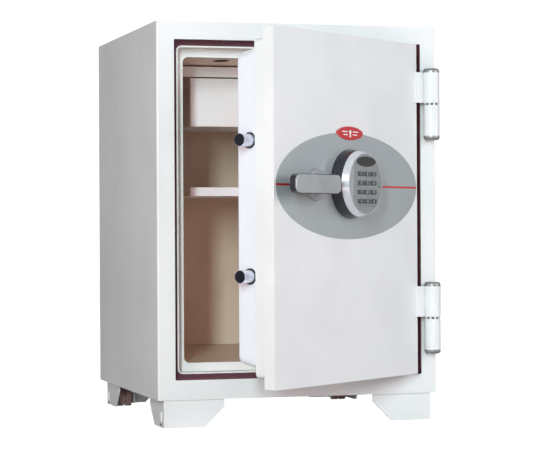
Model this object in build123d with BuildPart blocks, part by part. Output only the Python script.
from build123d import *
import os
from math import cos, radians, sin

os.makedirs("parts", exist_ok=True)

# Upright fire-resistant safe with a hinged door, a keypad and a lever handle.
# Frame: origin on the floor under the middle of the cabinet's footprint,
# +X to the right, +Y to the back, +Z up. The door stands part open at rest.

# Cabinet
CAB_W = 476.0
CAB_D = 480.0
CAB_H = 610.0
FOOT_H = 45.0
SHEET = 2.0
EDGE_R = 3.0
BACK_EDGE_R = 8.0
REAR_SET = 0.8
FRONT = -CAB_D / 2
MID_Z = FOOT_H + 306.3

# Doorway, from the front face inwards
OPEN_W = 421.0
OPEN_X = 1.5
OPEN_H = 549.0
OPEN_R = 2.0
STEP_D = 20.5
THROAT_T = 2.5
SEAL_IN = 1.5
SEAL_T = 2.0
THROAT_BACK = 24.0
RIM_W = 401.0
RIM_H = 532.0
RIM_IN = 2.5
MOUTH_D = 48.5
MOUTH_W = 366.0
MOUTH_H = 500.0
MOUTH_R = 9.0
LINER_T = 2.5
LINER_BACK_D = 436.0
DRAFT = 5.2

# Door, drawn closed and then swung open about the hinge axis
DOOR_W = 410.0
DOOR_H = 544.6
PLATE_T = 18.9
STEP2_IN = 14.8
STEP2_D = 45.2
PLUG_IN = 30.0
PLUG_IN_Z = 23.0
PLUG_D = 98.0
PLUG_TAPER = 12.0
PLUG_R = 13.0
PLUG_EDGE_R = 5.0
STEP2_R = 9.0
HINGE_X = 225.5
HINGE_OUT = 16.5
REST_ANGLE = 38.4

# Hinges
KNUCKLE_R = 13.5
KNUCKLE_H = 50.2
PIN_R = 7.0
RUN_GAP = 0.05
WASHER_H = 4.2
WASHER_GAP = 0.3
CAP_H = 7.0
HINGE_FEET = (FOOT_H + 427.5, FOOT_H + 73.5)

# Locking bolts and their drive
BOLT_R = 10.0
BOLT_D = 69.0
BOLT_TIP_X = -198.5
BOLT_TIP = 1.5
BOLT_ZS = (FOOT_H + 409.7, FOOT_H + 202.6)
BOLT_BACK_X = -162.0
BOLT_THROW = 23.5
COLLAR_X = -173.2
COLLAR_R = 12.4
HANDLE_X = -96.6
HANDLE_Z = FOOT_H + 342.0
SPINDLE_R = 8.0
CRANK_R = 23.5
CRANK_REST = -30.0
CRANK_PIN_R = 4.0

# Door furniture
OVAL_W = 402.0
OVAL_H = 167.0
OVAL_Z = FOOT_H + 341.4
OVAL_T = 0.8
PAD_Z = FOOT_H + 344.5
PAD_BASE_R = 54.5
PAD_RIM_R = 52.0
PAD_RIM_D = -20.0
PAD_FACE_R = 47.0
PAD_FACE_D = -31.0
PAD_FACE_T = 3.0
KEY_W = 14.6
KEY_H = 6.4
KEY_GAP = 0.3
KEY_COLS = (-15.5, 3.0, 21.5)
KEY_ROWS = (15.3, 1.0, -13.3, -27.6)
KEY_NAMES = ("1", "2", "3", "4", "5", "6", "7", "8", "9", "clear", "0", "enter")

# Drawer and shelf
DRAWER_D = 180.0
DRAWER_W = 275.0
DRAWER_BACK_D = 400.0
DRAWER_Z0 = FOOT_H + 450.3
DRAWER_Z1 = FOOT_H + 532.4
SHELF_D = 190.0
SHELF_BACK_D = 420.0
SHELF_W = 272.0
SHELF_Z0 = FOOT_H + 331.5
SHELF_Z1 = FOOT_H + 346.2

# Feet
FOOT_X1 = 228.0
FOOT_X0 = 127.0
FOOT_T = 3.0
FOOT_CUT = 33.0
FRONT_FOOT_Y = 237.0
REAR_FOOT_Y = 218.0
REAR_CLEAR = 2.5
WHEEL_R = 16.0
WHEEL_W = 24.0
WHEEL_X = 204.0
WHEEL_Y = 186.0
AXLE_R = 3.0

swing = (
    Pos(HINGE_X, FRONT - HINGE_OUT, 0)
    * Rot(0, 0, REST_ANGLE)
    * Pos(-HINGE_X, HINGE_OUT - FRONT, 0)
)


def facing(depth, x=0.0, z=0.0):
    """A plane square to the front, its normal out of the safe."""
    return Plane(origin=(x, FRONT + depth, z), x_dir=(1, 0, 0), z_dir=(0, -1, 0))


def block(x, d, z, mode=Mode.ADD):
    """A box by its spans: across, behind the front face, and up."""
    middle = ((x[0] + x[1]) / 2, FRONT + (d[0] + d[1]) / 2, (z[0] + z[1]) / 2)
    with Locations(middle):
        Box(x[1] - x[0], d[1] - d[0], z[1] - z[0], mode=mode)


def panel(width, height, corner, d, mode=Mode.ADD, x=0.0):
    """A round-cornered slab at the doorway's height."""
    with BuildSketch(facing(d[0], x, MID_Z)) as outline:
        RectangleRounded(width, height, corner)
    extrude(outline.sketch, amount=-(d[1] - d[0]), mode=mode)


def doorway(grow, d, mode=Mode.ADD):
    """A slab that fills the doorway, which is wider on the hinge side for the door's swing."""
    panel(OPEN_W + 2 * grow, OPEN_H + 2 * grow, OPEN_R, d, mode, OPEN_X)


def rod(radius, x, z, d, mode=Mode.ADD):
    """A round bar square to the front."""
    with BuildSketch(facing(d[0], x, z)) as outline:
        Circle(radius)
    extrude(outline.sketch, amount=-(d[1] - d[0]), mode=mode)


def upright(radius, z0, z1, mode=Mode.ADD):
    """A round bar on the hinge axis."""
    with BuildSketch(Plane.XY.offset(z0)) as outline:
        with Locations((HINGE_X, FRONT - HINGE_OUT)):
            Circle(radius)
    extrude(outline.sketch, amount=z1 - z0, mode=mode)


def tub(grow, d_back, mode=Mode.ADD):
    """The drafted inside of the compartment, grown by a wall thickness."""
    with BuildSketch(facing(MOUTH_D, 0, MID_Z)) as mouth:
        RectangleRounded(MOUTH_W + 2 * grow, MOUTH_H + 2 * grow, MOUTH_R + grow)
    with BuildSketch(facing(d_back, 0, MID_Z)) as back:
        RectangleRounded(
            MOUTH_W + 2 * grow - 2 * DRAFT, MOUTH_H + 2 * grow - 2 * DRAFT, MOUTH_R + grow
        )
    loft([mouth.sketch.face(), back.sketch.face()], mode=mode)


POCKET_H = 26.0
POCKET_X0 = -201.5
POCKET_X1 = -180.0
POCKET_D = (54.0, 84.0)
STRIKE_WALL = 2.0
STRIKE_IN = -185.8


def strike_envelope(mode):
    """The outside of the two strike boxes, for clearing the parts around them."""
    for z in BOLT_ZS:
        block(
            (POCKET_X0 - STRIKE_WALL, STRIKE_IN),
            (POCKET_D[0] - STRIKE_WALL, POCKET_D[1] + STRIKE_WALL),
            (z - POCKET_H / 2 - STRIKE_WALL, z + POCKET_H / 2 + STRIKE_WALL),
            mode,
        )


def bolt_windows(mode):
    """The way into the strike boxes, through the compartment's left wall."""
    for z in BOLT_ZS:
        block(
            (POCKET_X0, POCKET_X1), POCKET_D, (z - POCKET_H / 2, z + POCKET_H / 2), mode
        )


def wall_region(side, across):
    """The share of the compartment's walls on one side, mitred at the corners."""
    half_w, half_h = MOUTH_W / 2, MOUTH_H / 2
    out, inner = 30.0, 60.0
    with BuildSketch(facing(0, 0, MID_Z)) as outline:
        if across:
            Polygon(
                (side * (half_w + out), -half_h - out),
                (side * (half_w + out), half_h + out),
                (side * (half_w - inner), half_h - inner),
                (side * (half_w - inner), -half_h + inner),
                align=None,
            )
        else:
            Polygon(
                (-half_w - out, side * (half_h + out)),
                (half_w + out, side * (half_h + out)),
                (half_w - inner, side * (half_h - inner)),
                (-half_w + inner, side * (half_h - inner)),
                align=None,
            )
    return extrude(outline.sketch, amount=-CAB_D, mode=Mode.PRIVATE)


def compartment_walls():
    """The folded side walls, top and floor, before they are parted at the corners."""
    tub(LINER_T, LINER_BACK_D + LINER_T)
    tub(0, LINER_BACK_D + LINER_T, Mode.SUBTRACT)
    block((-CAB_W / 2, CAB_W / 2), (0, MOUTH_D + LINER_T), (0, CAB_H + FOOT_H), Mode.SUBTRACT)


# ---------------------------------------------------------------- cabinet

with BuildPart() as outer_shell:
    with BuildSketch(Plane.XY.offset(FOOT_H)):
        Rectangle(CAB_W, CAB_D)
    extrude(amount=CAB_H)
    uprights = outer_shell.edges().filter_by(Axis.Z)
    fillet(uprights.group_by(Axis.Y)[-1], BACK_EDGE_R)
    fillet(outer_shell.edges().filter_by(Axis.Z).group_by(Axis.Y)[0], EDGE_R)
    block(
        (-CAB_W / 2 + SHEET, CAB_W / 2 - SHEET),
        (SHEET, CAB_D - SHEET),
        (FOOT_H + SHEET, FOOT_H + CAB_H - SHEET),
        Mode.SUBTRACT,
    )
    block(
        (-CAB_W / 2 + 14, CAB_W / 2 - 14),
        (CAB_D - SHEET, CAB_D),
        (FOOT_H + 14, FOOT_H + CAB_H - 14),
        Mode.SUBTRACT,
    )
    doorway(0, (0, SHEET), Mode.SUBTRACT)
outer_shell.part.label = "outer_shell"
export_step(outer_shell.part, "parts/outer_shell.step")

with BuildPart() as rear_panel:
    block(
        (-CAB_W / 2 + 14.3, CAB_W / 2 - 14.3),
        (CAB_D - SHEET, CAB_D - REAR_SET),
        (FOOT_H + 14.3, FOOT_H + CAB_H - 14.3),
    )
rear_panel.part.label = "rear_panel"
export_step(rear_panel.part, "parts/rear_panel.step")

with BuildPart() as throat_frame:
    doorway(THROAT_T, (SHEET, THROAT_BACK))
    doorway(0, (SHEET, STEP_D), Mode.SUBTRACT)
    panel(RIM_W, RIM_H, MOUTH_R, (STEP_D, THROAT_BACK), Mode.SUBTRACT)
    doorway(-SEAL_IN, (STEP_D, STEP_D + SEAL_T), Mode.SUBTRACT)
throat_frame.part.label = "throat_frame"
export_step(throat_frame.part, "parts/throat_frame.step")

with BuildPart() as heat_seal:
    doorway(-SEAL_IN - 0.1, (STEP_D, STEP_D + SEAL_T))
    panel(RIM_W + 0.4, RIM_H + 0.4, MOUTH_R, (STEP_D, STEP_D + SEAL_T), Mode.SUBTRACT)
heat_seal.part.label = "heat_seal"
export_step(heat_seal.part, "parts/heat_seal.step")

RECESS_X = -104.0
RECESS_D = 102.0

BACK_GAP = 1.0

with BuildPart() as liner_front:
    panel(RIM_W, RIM_H, MOUTH_R, (STEP_D, MOUTH_D + LINER_T))
    panel(
        RIM_W - 2 * RIM_IN, RIM_H - 2 * RIM_IN, MOUTH_R - 2, (STEP_D, MOUTH_D), Mode.SUBTRACT
    )
    tub(0, LINER_BACK_D, Mode.SUBTRACT)
liner_front.part.label = "liner_front"
export_step(liner_front.part, "parts/liner_front.step")

with BuildPart() as liner_shell:
    compartment_walls()

with BuildPart() as liner_sides:
    add(liner_shell.part & wall_region(-1, True))
    add(liner_shell.part & wall_region(1, True))
    bolt_windows(Mode.SUBTRACT)
liner_sides.part.label = "liner_sides"
export_step(liner_sides.part, "parts/liner_sides.step")

with BuildPart() as liner_top_floor:
    add(liner_shell.part & wall_region(-1, False))
    add(liner_shell.part & wall_region(1, False))
    with BuildSketch(Plane.XY.offset(MID_Z + MOUTH_H / 2 - 4)):
        with Locations((RECESS_X, FRONT + RECESS_D)):
            Ellipse(14, 19)
    extrude(amount=10, mode=Mode.SUBTRACT)
liner_top_floor.part.label = "liner_top_floor"
export_step(liner_top_floor.part, "parts/liner_top_floor.step")

with BuildPart() as liner_back:
    panel(
        MOUTH_W - 2 * DRAFT - 2 * BACK_GAP,
        MOUTH_H - 2 * DRAFT - 2 * BACK_GAP,
        MOUTH_R - BACK_GAP,
        (LINER_BACK_D, LINER_BACK_D + LINER_T),
    )
liner_back.part.label = "liner_back"
export_step(liner_back.part, "parts/liner_back.step")

with BuildPart() as insulation:
    block(
        (-CAB_W / 2 + 14.3, CAB_W / 2 - 14.3),
        (SHEET, CAB_D - SHEET),
        (FOOT_H + SHEET, FOOT_H + CAB_H - SHEET),
    )
    block(
        (-CAB_W / 2 + SHEET, CAB_W / 2 - SHEET),
        (SHEET + EDGE_R, CAB_D - 14.3),
        (FOOT_H + SHEET, FOOT_H + CAB_H - SHEET),
    )
    doorway(THROAT_T, (SHEET, THROAT_BACK), Mode.SUBTRACT)
    panel(RIM_W, RIM_H, MOUTH_R, (STEP_D, MOUTH_D + LINER_T), Mode.SUBTRACT)
    tub(LINER_T, LINER_BACK_D + LINER_T, Mode.SUBTRACT)
    strike_envelope(Mode.SUBTRACT)
    bolt_windows(Mode.SUBTRACT)
    with BuildSketch(Plane.XY.offset(MID_Z + MOUTH_H / 2 - 4)):
        with Locations((RECESS_X, FRONT + RECESS_D)):
            Ellipse(14, 19)
    extrude(amount=24, mode=Mode.SUBTRACT)
insulation.part.label = "insulation"
export_step(insulation.part, "parts/insulation.step")

with BuildPart() as strike_boxes:
    strike_envelope(Mode.ADD)
    bolt_windows(Mode.SUBTRACT)
strike_boxes.part.label = "strike_boxes"
export_step(strike_boxes.part, "parts/strike_boxes.step")

# ---------------------------------------------------------------- feet


def foot_plate(side, y_out, into, low):
    """An angle foot: one panel along the front or back, one along the side."""
    x1, x0 = side * FOOT_X1, side * FOOT_X0
    short = FOOT_H - 12.0
    along = Plane(origin=(0, y_out, 0), x_dir=(1, 0, 0), z_dir=(0, -1, 0))
    with BuildSketch(along) as outline:
        Polygon(
            (x1, FOOT_H),
            (x0, FOOT_H),
            (x0, short),
            (x0 + side * (short - low), low),
            (x1, low),
            align=None,
        )
    extrude(outline.sketch, amount=-into * FOOT_T)
    across = Plane(origin=(x1, 0, 0), x_dir=(0, 1, 0), z_dir=(1, 0, 0))
    with BuildSketch(across) as outline:
        y0 = y_out + into * (FOOT_X1 - FOOT_X0)
        Polygon(
            (y_out, FOOT_H),
            (y0, FOOT_H),
            (y0, short),
            (y0 - into * (short - low), low),
            (y_out, low),
            align=None,
        )
    extrude(outline.sketch, amount=-side * FOOT_T)
    with BuildSketch(Plane.XY.offset(FOOT_H - FOOT_T)) as outline:
        Polygon((x1, y_out), (x0, y_out), (x1, y0), align=None)
    extrude(outline.sketch, amount=FOOT_T)


with BuildPart() as feet_front:
    for side in (-1, 1):
        foot_plate(side, -FRONT_FOOT_Y, 1, 0.0)
feet_front.part.label = "feet_front"
export_step(feet_front.part, "parts/feet_front.step")

CHEEK_X = WHEEL_X - WHEEL_W / 2 - 3.0


def rear_foot(side):
    """A rear angle foot with an inner cheek that carries the wheel's axle."""
    foot_plate(side, REAR_FOOT_Y, -1, REAR_CLEAR)
    lo, hi = sorted((side * (CHEEK_X - FOOT_T), side * CHEEK_X))
    with Locations(((lo + hi) / 2, WHEEL_Y, 25.0)):
        Box(FOOT_T, 26.0, 40.0)
    with BuildSketch(Plane.YZ) as outline:
        with Locations((WHEEL_Y, WHEEL_R)):
            Circle(AXLE_R)
    extrude(outline.sketch, amount=side * (FOOT_X1 + 5), mode=Mode.SUBTRACT)


with BuildPart() as feet_rear:
    for side in (-1, 1):
        rear_foot(side)
feet_rear.part.label = "feet_rear"
export_step(feet_rear.part, "parts/feet_rear.step")

with BuildPart() as caster_axles:
    for side in (-1, 1):
        with BuildSketch(Plane.YZ.offset(side * (CHEEK_X - FOOT_T - 1.5))):
            with Locations((WHEEL_Y, WHEEL_R)):
                Circle(AXLE_R)
        extrude(amount=side * (FOOT_X1 - CHEEK_X + FOOT_T + 1.5))
caster_axles.part.label = "caster_axles"
export_step(caster_axles.part, "parts/caster_axles.step")


def wheel(side):
    """A twin-tread wheel with a running bore."""
    start = WHEEL_X - WHEEL_W / 2
    plane = Plane.YZ.offset(side * start)
    with BuildSketch(plane) as outline:
        with Locations((WHEEL_Y, WHEEL_R)):
            Circle(WHEEL_R)
    extrude(outline.sketch, amount=side * WHEEL_W)
    with BuildSketch(Plane.YZ.offset(side * (start + WHEEL_W / 2 - 2))) as outline:
        with Locations((WHEEL_Y, WHEEL_R)):
            Circle(WHEEL_R + 1)
            Circle(WHEEL_R - 5, mode=Mode.SUBTRACT)
    extrude(outline.sketch, amount=side * 4, mode=Mode.SUBTRACT)
    with BuildSketch(plane) as outline:
        with Locations((WHEEL_Y, WHEEL_R)):
            Circle(AXLE_R + RUN_GAP)
    extrude(outline.sketch, amount=side * WHEEL_W, mode=Mode.SUBTRACT)


with BuildPart() as wheel_left:
    wheel(-1)
wheel_left.part.label = "wheel_left"
export_step(wheel_left.part, "parts/wheel_left.step")

with BuildPart() as wheel_right:
    wheel(1)
wheel_right.part.label = "wheel_right"
export_step(wheel_right.part, "parts/wheel_right.step")

STUD_Z = 17.0
with BuildPart() as foot_studs:
    for side in (-1, 1):
        for y, z in ((-FRONT_FOOT_Y + 18, STUD_Z), (REAR_FOOT_Y - 14, STUD_Z)):
            with BuildSketch(Plane.YZ.offset(side * FOOT_X1)):
                with Locations((y, z)):
                    SlotOverall(16, 7, rotation=90)
            extrude(amount=side * 1.6)
            with BuildSketch(Plane.YZ.offset(side * FOOT_X1)):
                with Locations((y, z - 12)):
                    Circle(1.8)
            extrude(amount=side * 1.2)
foot_studs.part.label = "foot_studs"
export_step(foot_studs.part, "parts/foot_studs.step")

# ---------------------------------------------------------------- hinges

with BuildPart() as frame_knuckles:
    for z in HINGE_FEET:
        upright(KNUCKLE_R, z, z + KNUCKLE_H)
        block((HINGE_X - 7, HINGE_X + 7), (-HINGE_OUT + 8, 0), (z, z + KNUCKLE_H))
        upright(PIN_R, z, z + KNUCKLE_H, Mode.SUBTRACT)
frame_knuckles.part.label = "frame_knuckles"
export_step(frame_knuckles.part, "parts/frame_knuckles.step")

with BuildPart() as hinge_pins:
    for z in HINGE_FEET:
        upright(PIN_R, z, z + 2 * KNUCKLE_H + WASHER_H - 3)
hinge_pins.part.label = "hinge_pins"
export_step(hinge_pins.part, "parts/hinge_pins.step")

with BuildPart() as hinge_washers:
    for z in HINGE_FEET:
        low = z + KNUCKLE_H
        upright(KNUCKLE_R - 0.6, low, low + WASHER_H)
        upright(PIN_R, low, low + WASHER_H, Mode.SUBTRACT)
        with Locations((HINGE_X, FRONT - HINGE_OUT, low + WASHER_H / 2)):
            with PolarLocations(KNUCKLE_R - 1.0, 10):
                Box(4.0, 4.2, WASHER_H - 1.2, mode=Mode.SUBTRACT)
hinge_washers.part.label = "hinge_washers"
export_step(hinge_washers.part, "parts/hinge_washers.step")

with BuildPart() as hinge_caps_lower:
    for z in HINGE_FEET:
        upright(KNUCKLE_R, z - CAP_H, z)
    ends = hinge_caps_lower.faces().filter_by(Axis.Z).group_by(Axis.Z)
    fillet(ends[0].edges() + ends[2].edges(), 5.0)
hinge_caps_lower.part.label = "hinge_caps_lower"
export_step(hinge_caps_lower.part, "parts/hinge_caps_lower.step")

with BuildPart() as hinge_caps_upper:
    for z in HINGE_FEET:
        top = z + 2 * KNUCKLE_H + WASHER_H + WASHER_GAP
        upright(KNUCKLE_R, top, top + CAP_H)
    ends = hinge_caps_upper.faces().filter_by(Axis.Z).group_by(Axis.Z)
    fillet(ends[1].edges() + ends[3].edges(), 5.0)
hinge_caps_upper.part = swing * hinge_caps_upper.part
hinge_caps_upper.part.label = "hinge_caps_upper"
export_step(hinge_caps_upper.part, "parts/hinge_caps_upper.step")

with BuildPart() as door_knuckles:
    for z in HINGE_FEET:
        low = z + KNUCKLE_H + WASHER_H + WASHER_GAP
        upright(KNUCKLE_R, low, low + KNUCKLE_H)
        with BuildSketch(Plane.XY.offset(low)):
            with Locations((HINGE_X, FRONT - HINGE_OUT)):
                Polygon(
                    (-27, HINGE_OUT),
                    (-27, 11),
                    (0, 5),
                    (0, 12),
                    (-10, 15.2),
                    (-19.5, 15.2),
                    (-20.5, HINGE_OUT),
                    align=None,
                )
        extrude(amount=KNUCKLE_H)
        upright(PIN_R + RUN_GAP, low, low + KNUCKLE_H, Mode.SUBTRACT)
door_knuckles.part = swing * door_knuckles.part
door_knuckles.part.label = "door_knuckles"
export_step(door_knuckles.part, "parts/door_knuckles.step")

# ---------------------------------------------------------------- inside

LIP_Z1 = FOOT_H + 552.2
LIP_GAP = 2.2
PLATE_Z1 = FOOT_H + 550.0
RUNNER_X = 134.0
RUNNER_T = 1.6
RUNNER_Z = DRAWER_Z1 - 12.0
BOX_HALF = 129.0
WING_T = 1.6

with BuildPart() as drawer_hanger:
    block((-176, 176), (DRAWER_D, DRAWER_D + 2), (DRAWER_Z1 + LIP_GAP, LIP_Z1))
    block((-176, 176), (DRAWER_D, DRAWER_BACK_D), (PLATE_Z1 - 2, PLATE_Z1))
    span = (DRAWER_D + 6, DRAWER_BACK_D)
    for side in (-1, 1):
        web = sorted((side * RUNNER_X, side * (RUNNER_X + RUNNER_T)))
        block(web, span, (RUNNER_Z, PLATE_Z1))
        ledge = sorted((side * (BOX_HALF + 1.5), side * (RUNNER_X + RUNNER_T)))
        block(ledge, span, (RUNNER_Z, RUNNER_Z + RUNNER_T))
    tub(-0.4, LINER_BACK_D, Mode.INTERSECT)
drawer_hanger.part.label = "drawer_hanger"
export_step(drawer_hanger.part, "parts/drawer_hanger.step")

with BuildPart() as drawer:
    half = DRAWER_W / 2
    block((-half, half), (DRAWER_D, DRAWER_D + 2), (DRAWER_Z0, DRAWER_Z1))
    box_d = (DRAWER_D, DRAWER_BACK_D - 4)
    block((-BOX_HALF, BOX_HALF), box_d, (DRAWER_Z0 + 2, DRAWER_Z1 - 7.4))
    block(
        (-BOX_HALF + 2, BOX_HALF - 2),
        (DRAWER_D + 2, DRAWER_BACK_D - 6),
        (DRAWER_Z0 + 4, DRAWER_Z1),
        Mode.SUBTRACT,
    )
    for side in (-1, 1):
        wing = sorted((side * (BOX_HALF - 2), side * (RUNNER_X - 0.6)))
        block(wing, (DRAWER_D + 7, DRAWER_BACK_D - 4), (DRAWER_Z1 - 9, DRAWER_Z1 - 9 + WING_T))
drawer.part.label = "drawer"
export_step(drawer.part, "parts/drawer.step")

with BuildPart() as shelf:
    half = SHELF_W / 2
    block((-half, half), (SHELF_D, SHELF_BACK_D), (SHELF_Z0, SHELF_Z1))
    block(
        (-half + 2, half - 2),
        (SHELF_D + 2, SHELF_BACK_D - 2),
        (SHELF_Z0, SHELF_Z1 - 2),
        Mode.SUBTRACT,
    )
shelf.part.label = "shelf"
export_step(shelf.part, "parts/shelf.step")

with BuildPart() as shelf_brackets:
    for side in (-1, 1):
        plate = sorted((side * 124.0, side * 177.0))
        block(plate, (SHELF_D + 60, SHELF_BACK_D - 6), (SHELF_Z0 - 2, SHELF_Z0))
        wall = sorted((side * 175.0, side * 177.0))
        block(wall, (SHELF_D + 60, SHELF_BACK_D - 6), (SHELF_Z0 - 26, SHELF_Z0))
shelf_brackets.part.label = "shelf_brackets"
export_step(shelf_brackets.part, "parts/shelf_brackets.step")

# ---------------------------------------------------------------- door

STEP2_W = DOOR_W - 2 * STEP2_IN
STEP2_H = DOOR_H - 2 * STEP2_IN
PLUG_W = DOOR_W - 2 * PLUG_IN
PLUG_H = DOOR_H - 2 * PLUG_IN_Z
WORKS_X = (-PLUG_W / 2, -52.0)
WORKS_Z = (FOOT_H + 180.0, FOOT_H + 432.0)

with BuildPart() as door_panel:
    panel(DOOR_W, DOOR_H, 1.5, (0, PLATE_T))
    panel(DOOR_W - 4, DOOR_H - 4, 1.0, (SHEET, PLATE_T), Mode.SUBTRACT)
    rod(SPINDLE_R + 0.4, HANDLE_X, HANDLE_Z, (0, SHEET), Mode.SUBTRACT)
door_panel.part = swing * door_panel.part
door_panel.part.label = "door_panel"
export_step(door_panel.part, "parts/door_panel.step")

with BuildPart() as door_step:
    panel(DOOR_W - 4.4, DOOR_H - 4.4, 1.0, (PLATE_T - SHEET, PLATE_T))
    panel(STEP2_W, STEP2_H, STEP2_R, (PLATE_T, STEP2_D))
    panel(STEP2_W - 4, STEP2_H - 4, STEP2_R - 2, (PLATE_T - SHEET, STEP2_D - SHEET), Mode.SUBTRACT)
    panel(PLUG_W - 4, PLUG_H - 4, PLUG_R - 2, (STEP2_D - SHEET, STEP2_D), Mode.SUBTRACT)
door_step.part = swing * door_step.part
door_step.part.label = "door_step"
export_step(door_step.part, "parts/door_step.step")



def tapered(inset, d, mode=Mode.ADD):
    """The plug's tapered body, from the door step inwards."""
    share = PLUG_TAPER / (PLUG_D - STEP2_D)
    with BuildSketch(facing(d[0], 0, MID_Z)) as near:
        lost = 2 * inset[0] + 2 * share * (d[0] - STEP2_D)
        RectangleRounded(PLUG_W - lost, PLUG_H - lost, PLUG_R - inset[0])
    with BuildSketch(facing(d[1], 0, MID_Z)) as far:
        lost = 2 * inset[1] + 2 * share * (d[1] - STEP2_D)
        RectangleRounded(PLUG_W - lost, PLUG_H - lost, PLUG_R - inset[1])
    loft([near.sketch.face(), far.sketch.face()], mode=mode)


with BuildPart() as door_plug:
    tapered((0.0, 0.0), (STEP2_D, PLUG_D))
    fillet(door_plug.faces().sort_by(Axis.Y)[-1].edges(), PLUG_EDGE_R)
    tapered((SHEET, 4.0), (STEP2_D, PLUG_D - SHEET), Mode.SUBTRACT)
    for z in BOLT_ZS:
        with BuildSketch(Plane.YZ.offset(BOLT_BACK_X + 6)):
            with Locations((FRONT + BOLT_D, z)):
                Circle(COLLAR_R + RUN_GAP)
        extrude(amount=-30, mode=Mode.SUBTRACT)
door_plug.part = swing * door_plug.part
door_plug.part.label = "door_plug"
export_step(door_plug.part, "parts/door_plug.step")

with BuildPart() as door_insulation:
    panel(DOOR_W - 4, DOOR_H - 4, 1.0, (SHEET, PLATE_T - SHEET))
    panel(STEP2_W - 4, STEP2_H - 4, STEP2_R - 2, (PLATE_T - SHEET, STEP2_D - SHEET))
    tapered((SHEET + 0.2, 4.2), (STEP2_D, PLUG_D - SHEET - 0.2))
    panel(PLUG_W - 4.4, PLUG_H - 4.4, PLUG_R - 2, (STEP2_D - SHEET, STEP2_D))
    block(WORKS_X, (STEP2_D - 1, PLUG_D), WORKS_Z, Mode.SUBTRACT)
    rod(SPINDLE_R + 0.6, HANDLE_X, HANDLE_Z, (0, STEP2_D), Mode.SUBTRACT)
door_insulation.part = swing * door_insulation.part
door_insulation.part.label = "door_insulation"
export_step(door_insulation.part, "parts/door_insulation.step")

BADGE_Z = FOOT_H + 424.2

with BuildPart() as oval_plate:
    with BuildSketch(facing(0, 0, OVAL_Z)):
        Ellipse(OVAL_W / 2, OVAL_H / 2)
    extrude(amount=OVAL_T)
    with BuildSketch(facing(0, 0, BADGE_Z)):
        Ellipse(37.6, 10.9)
    extrude(amount=OVAL_T, mode=Mode.SUBTRACT)
    rod(SPINDLE_R + 0.4, HANDLE_X, HANDLE_Z, (-OVAL_T, 0), Mode.SUBTRACT)
oval_plate.part = swing * oval_plate.part
oval_plate.part.label = "oval_plate"
export_step(oval_plate.part, "parts/oval_plate.step")

with BuildPart() as red_stripe:
    block((-200.6, -124.0), (-OVAL_T - 0.3, -OVAL_T), (OVAL_Z - 1.5, OVAL_Z + 1.5))
    block((56.0, 200.6), (-OVAL_T - 0.3, -OVAL_T), (OVAL_Z - 1.5, OVAL_Z + 1.5))
red_stripe.part = swing * red_stripe.part
red_stripe.part.label = "red_stripe"
export_step(red_stripe.part, "parts/red_stripe.step")

with BuildPart() as badge:
    with BuildSketch(facing(0, 0, BADGE_Z)):
        Ellipse(37.4, 10.7)
    extrude(amount=2.4)
    fillet(badge.faces().sort_by(Axis.Y)[0].edges(), 1.0)
badge.part = swing * badge.part
badge.part.label = "badge"
export_step(badge.part, "parts/badge.step")

with BuildPart() as keypad_base:
    with BuildSketch(facing(-OVAL_T, 0, PAD_Z)):
        Circle(PAD_BASE_R)
    with BuildSketch(facing(PAD_RIM_D, 0, PAD_Z)):
        Circle(PAD_RIM_R)
    loft()
    rod(PAD_FACE_R, 0, PAD_Z, (PAD_RIM_D, -3.0), Mode.SUBTRACT)
keypad_base.part = swing * keypad_base.part
keypad_base.part.label = "keypad_base"
export_step(keypad_base.part, "parts/keypad_base.step")

with BuildPart() as keypad_ring:
    with BuildSketch(facing(PAD_RIM_D, 0, PAD_Z)):
        Circle(PAD_RIM_R)
    with BuildSketch(facing(PAD_FACE_D, 0, PAD_Z)):
        Circle(PAD_FACE_R + 0.8)
    loft()
    rod(PAD_FACE_R, 0, PAD_Z, (PAD_FACE_D, PAD_RIM_D), Mode.SUBTRACT)
keypad_ring.part = swing * keypad_ring.part
keypad_ring.part.label = "keypad_ring"
export_step(keypad_ring.part, "parts/keypad_ring.step")

LENS_X = 1.0
LENS_Z = PAD_Z + 34.5
LED_X = 37.5
LED_Z = PAD_Z - 4.2
FACET_X = 34.5
FACET_DROP = 2.0

with BuildPart() as keypad_face:
    rod(PAD_FACE_R - 0.1, 0, PAD_Z, (PAD_FACE_D, PAD_FACE_D + PAD_FACE_T))
    for dz in KEY_ROWS:
        for x in KEY_COLS:
            block(
                (x - KEY_W / 2 - KEY_GAP, x + KEY_W / 2 + KEY_GAP),
                (PAD_FACE_D, PAD_FACE_D + PAD_FACE_T),
                (PAD_Z + dz - KEY_H / 2 - KEY_GAP, PAD_Z + dz + KEY_H / 2 + KEY_GAP),
                Mode.SUBTRACT,
            )
    with BuildSketch(facing(PAD_FACE_D, LENS_X, LENS_Z)):
        Ellipse(26.7, 8.0)
    extrude(amount=-1.0, mode=Mode.SUBTRACT)
    rod(1.7, LED_X, LED_Z, (PAD_FACE_D, PAD_FACE_D + PAD_FACE_T), Mode.SUBTRACT)
    with BuildSketch(Plane.XY.offset(PAD_Z - PAD_FACE_R)):
        Polygon(
            (-FACET_X, FRONT + PAD_FACE_D - 1.0),
            (-FACET_X, FRONT + PAD_FACE_D),
            (-PAD_FACE_R - 1.0, FRONT + PAD_FACE_D + FACET_DROP),
            (-PAD_FACE_R - 1.0, FRONT + PAD_FACE_D - 1.0),
            align=None,
        )
    extrude(amount=2 * PAD_FACE_R, mode=Mode.SUBTRACT)
keypad_face.part = swing * keypad_face.part
keypad_face.part.label = "keypad_face"
export_step(keypad_face.part, "parts/keypad_face.step")

with BuildPart() as display_window:
    with BuildSketch(facing(PAD_FACE_D + 1.0, LENS_X, LENS_Z)):
        Ellipse(26.5, 7.8)
    extrude(amount=1.8)
display_window.part = swing * display_window.part
display_window.part.label = "display_window"
export_step(display_window.part, "parts/display_window.step")

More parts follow.
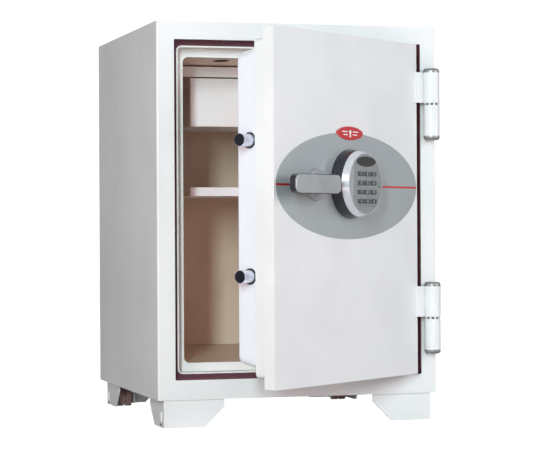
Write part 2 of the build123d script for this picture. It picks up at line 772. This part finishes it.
with BuildPart() as status_led:
    rod(1.65, LED_X, LED_Z, (PAD_FACE_D - 0.6, PAD_FACE_D + PAD_FACE_T))
status_led.part = swing * status_led.part
status_led.part.label = "status_led"
export_step(status_led.part, "parts/status_led.step")

for index, name in enumerate(KEY_NAMES):
    x = KEY_COLS[index % 3]
    z = PAD_Z + KEY_ROWS[index // 3]
    with BuildPart() as key:
        block(
            (x - KEY_W / 2, x + KEY_W / 2),
            (PAD_FACE_D - 1.4, PAD_FACE_D + 5.0),
            (z - KEY_H / 2, z + KEY_H / 2),
        )
        fillet(key.edges().filter_by(Axis.Y), 1.2)
    key.part = swing * key.part
    key.part.label = "key_" + name
    export_step(key.part, "parts/key_" + name + ".step")

# ---------------------------------------------------------------- handle

LEVER_X = (-205.0, -84.0)
LEVER_D = (-41.0, -29.0)
LEVER_H = 29.6
HUB_R = 11.5

with BuildPart() as handle_rosette:
    rod(24.8, HANDLE_X, HANDLE_Z, (-7.5, -OVAL_T))
    fillet(handle_rosette.faces().sort_by(Axis.Y)[0].edges(), 4.0)
    rod(SPINDLE_R + RUN_GAP, HANDLE_X, HANDLE_Z, (-7.5, -OVAL_T), Mode.SUBTRACT)
handle_rosette.part = swing * handle_rosette.part
handle_rosette.part.label = "handle_rosette"
export_step(handle_rosette.part, "parts/handle_rosette.step")

with BuildPart() as handle_spindle:
    rod(SPINDLE_R, HANDLE_X, HANDLE_Z, (-27.0, 50.0))
handle_spindle.part = swing * handle_spindle.part
handle_spindle.part.label = "handle_spindle"
export_step(handle_spindle.part, "parts/handle_spindle.step")

with BuildPart() as handle_lever:
    middle = (LEVER_X[0] + LEVER_X[1]) / 2
    with BuildSketch(facing(LEVER_D[0] + 2.5, middle, HANDLE_Z)):
        RectangleRounded(LEVER_X[1] - LEVER_X[0], LEVER_H, 11.0)
    extrude(amount=-(LEVER_D[1] - LEVER_D[0] - 2.5))
    rod(HUB_R, HANDLE_X, HANDLE_Z, (LEVER_D[1], -8.2))
    rod(SPINDLE_R, HANDLE_X, HANDLE_Z, (-27.0, -8.2), Mode.SUBTRACT)
handle_lever.part = swing * handle_lever.part
handle_lever.part.label = "handle_lever"
export_step(handle_lever.part, "parts/handle_lever.step")

with BuildPart() as handle_face:
    with BuildSketch(facing(LEVER_D[0], middle, HANDLE_Z)):
        RectangleRounded(LEVER_X[1] - LEVER_X[0] - 1.4, LEVER_H - 1.6, 10.0)
    extrude(amount=-2.5)
    fillet(handle_face.faces().sort_by(Axis.Y)[0].edges(), 1.0)
handle_face.part = swing * handle_face.part
handle_face.part.label = "handle_face"
export_step(handle_face.part, "parts/handle_face.step")

# ---------------------------------------------------------------- bolt works

PIN_X = HANDLE_X + CRANK_R * sin(radians(CRANK_REST))
PIN_Z = HANDLE_Z - CRANK_R * cos(radians(CRANK_REST))
PIN_DROP = CRANK_R - CRANK_R * cos(radians(CRANK_REST))
BASE_D = (46.0, 49.0)
BASE_X0 = -170.0
DISC_D = (50.0, 54.0)
ARM_D = (55.5, 59.5)
CARRIAGE_D = (61.0, 66.0)
CARRIAGE_X = (BOLT_BACK_X, -116.0)
GUIDE_X = -130.0
ARM_X1 = -97.0
PIN_SIDE = 0.6
GUIDE_ZS = (FOOT_H + 245.0, FOOT_H + 300.0)
GUIDE_R = 4.0

with BuildPart() as drive_cam:
    rod(30.0, HANDLE_X, HANDLE_Z, DISC_D)
    rod(CRANK_PIN_R, PIN_X, PIN_Z, (DISC_D[1], ARM_D[1] + 1))
drive_cam.part = swing * drive_cam.part
drive_cam.part.label = "drive_cam"
export_step(drive_cam.part, "parts/drive_cam.step")

with BuildPart() as bolt_carriage:
    arm_z = (PIN_Z - 14, PIN_Z + 12)
    block(CARRIAGE_X, CARRIAGE_D, (BOLT_ZS[1] - 14, BOLT_ZS[0] + 14))
    for z in BOLT_ZS:
        block((BOLT_BACK_X, BOLT_BACK_X + 16), (BOLT_D - 10, BOLT_D + 10), (z - 12, z + 12))
    block((CARRIAGE_X[1] - 20, ARM_X1), ARM_D, arm_z)
    block((CARRIAGE_X[1] - 20, CARRIAGE_X[1] - 5), (ARM_D[0], CARRIAGE_D[1]), arm_z)
    with BuildSketch(facing(ARM_D[0], PIN_X, PIN_Z - PIN_DROP / 2)):
        SlotOverall(
            2 * (CRANK_PIN_R + PIN_SIDE) + PIN_DROP + 1.0,
            2 * (CRANK_PIN_R + PIN_SIDE),
            rotation=90,
        )
    extrude(amount=-(ARM_D[1] - ARM_D[0]), mode=Mode.SUBTRACT)
    for z in GUIDE_ZS:
        with BuildSketch(facing(CARRIAGE_D[0], GUIDE_X - BOLT_THROW / 2, z)):
            SlotOverall(BOLT_THROW + 2 * GUIDE_R + 2.0, 2 * GUIDE_R + 0.4)
        extrude(amount=-(CARRIAGE_D[1] - CARRIAGE_D[0]), mode=Mode.SUBTRACT)
bolt_carriage.part = swing * bolt_carriage.part
bolt_carriage.part.label = "bolt_carriage"
export_step(bolt_carriage.part, "parts/bolt_carriage.step")

with BuildPart() as bolts:
    for z in BOLT_ZS:
        with BuildSketch(Plane.YZ.offset(BOLT_TIP_X)):
            with Locations((FRONT + BOLT_D, z)):
                Circle(BOLT_R)
        extrude(amount=BOLT_BACK_X - BOLT_TIP_X)
    chamfer(bolts.faces().filter_by(Axis.X).group_by(Axis.X)[0].edges(), BOLT_TIP)
bolts.part = swing * bolts.part
bolts.part.label = "bolts"
export_step(bolts.part, "parts/bolts.step")

with BuildPart() as bolt_collars:
    for z in BOLT_ZS:
        with BuildSketch(Plane.YZ.offset(COLLAR_X)):
            with Locations((FRONT + BOLT_D, z)):
                Circle(COLLAR_R)
        extrude(amount=9.0)
        with BuildSketch(Plane.YZ.offset(COLLAR_X)):
            with Locations((FRONT + BOLT_D, z)):
                Circle(BOLT_R + RUN_GAP)
        extrude(amount=9.0, mode=Mode.SUBTRACT)
    chamfer(bolt_collars.faces().filter_by(Axis.X).group_by(Axis.X)[0].edges(), 0.6)
bolt_collars.part = swing * bolt_collars.part
bolt_collars.part.label = "bolt_collars"
export_step(bolt_collars.part, "parts/bolt_collars.step")

with BuildPart() as lock_base:
    block((BASE_X0, -58.0), BASE_D, (WORKS_Z[0] + 5, WORKS_Z[1] - 5))
    rod(SPINDLE_R + RUN_GAP, HANDLE_X, HANDLE_Z, BASE_D, Mode.SUBTRACT)
    for z in GUIDE_ZS:
        rod(GUIDE_R, GUIDE_X, z, (BASE_D[1], CARRIAGE_D[1] + 3))
        rod(GUIDE_R + 4, GUIDE_X, z, (CARRIAGE_D[1] + 0.5, CARRIAGE_D[1] + 3))
lock_base.part = swing * lock_base.part
lock_base.part.label = "lock_base"
export_step(lock_base.part, "parts/lock_base.step")

with BuildPart() as solenoid_case:
    block((-88.0, -59.0), (BASE_D[1], 84.0), (FOOT_H + 225.0, FOOT_H + 270.0))
    fillet(solenoid_case.edges().filter_by(Axis.Y), 3.0)
solenoid_case.part = swing * solenoid_case.part
solenoid_case.part.label = "solenoid_case"
export_step(solenoid_case.part, "parts/solenoid_case.step")
